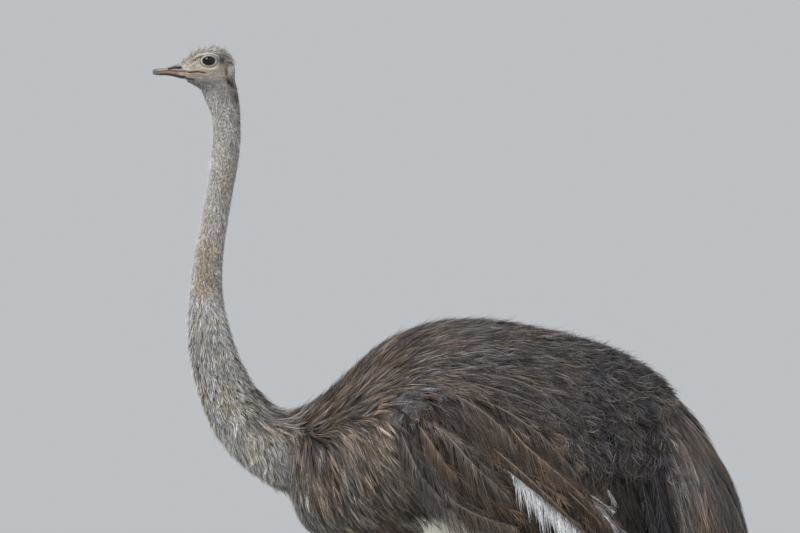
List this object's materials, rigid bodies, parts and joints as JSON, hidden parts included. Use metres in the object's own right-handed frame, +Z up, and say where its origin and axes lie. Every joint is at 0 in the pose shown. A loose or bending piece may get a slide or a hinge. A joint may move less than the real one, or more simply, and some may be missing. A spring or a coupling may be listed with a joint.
{
  "type": "ostrich",
  "caption": "Life-size female ostrich standing alert with her neck upright, wings folded and tail hanging, as a still display model.",
  "frame": {"origin": "on the floor, under the middle of the bird's bounding box", "axes": "+Z up, bill towards -X, tail towards +X, the bird's left side towards -Y"},
  "size_m": [1.4963, 0.5042, 1.8449],
  "materials": {
    "plumage": "loose brown feathers with buff edges and pale shafts",
    "down": "short greyish-white hair-like down",
    "skin": "matt bare skin, finely wrinkled",
    "bill": "horn with a dull sheen",
    "eye": "wet gloss",
    "scales": "dusty scaly skin",
    "claw": "worn dark horn"
  },
  "bodies": {
    "root": {"head": "skin", "bill_upper": "bill", "bill_lower": "bill", "eye_left": "eye", "eye_right": "eye", "neck_upper": "down", "neck_middle": "down", "neck_lower": "down", "trunk": "plumage", "tail": "plumage", "wing_left": "plumage", "thigh_left": "skin", "shank_left": "scales", "toe_inner_left": "scales", "toe_outer_left": "scales", "claw_left": "claw", "wing_right": "plumage", "thigh_right": "skin", "shank_right": "scales", "toe_inner_right": "scales", "toe_outer_right": "scales", "claw_right": "claw"}
  },
  "joints": []
}
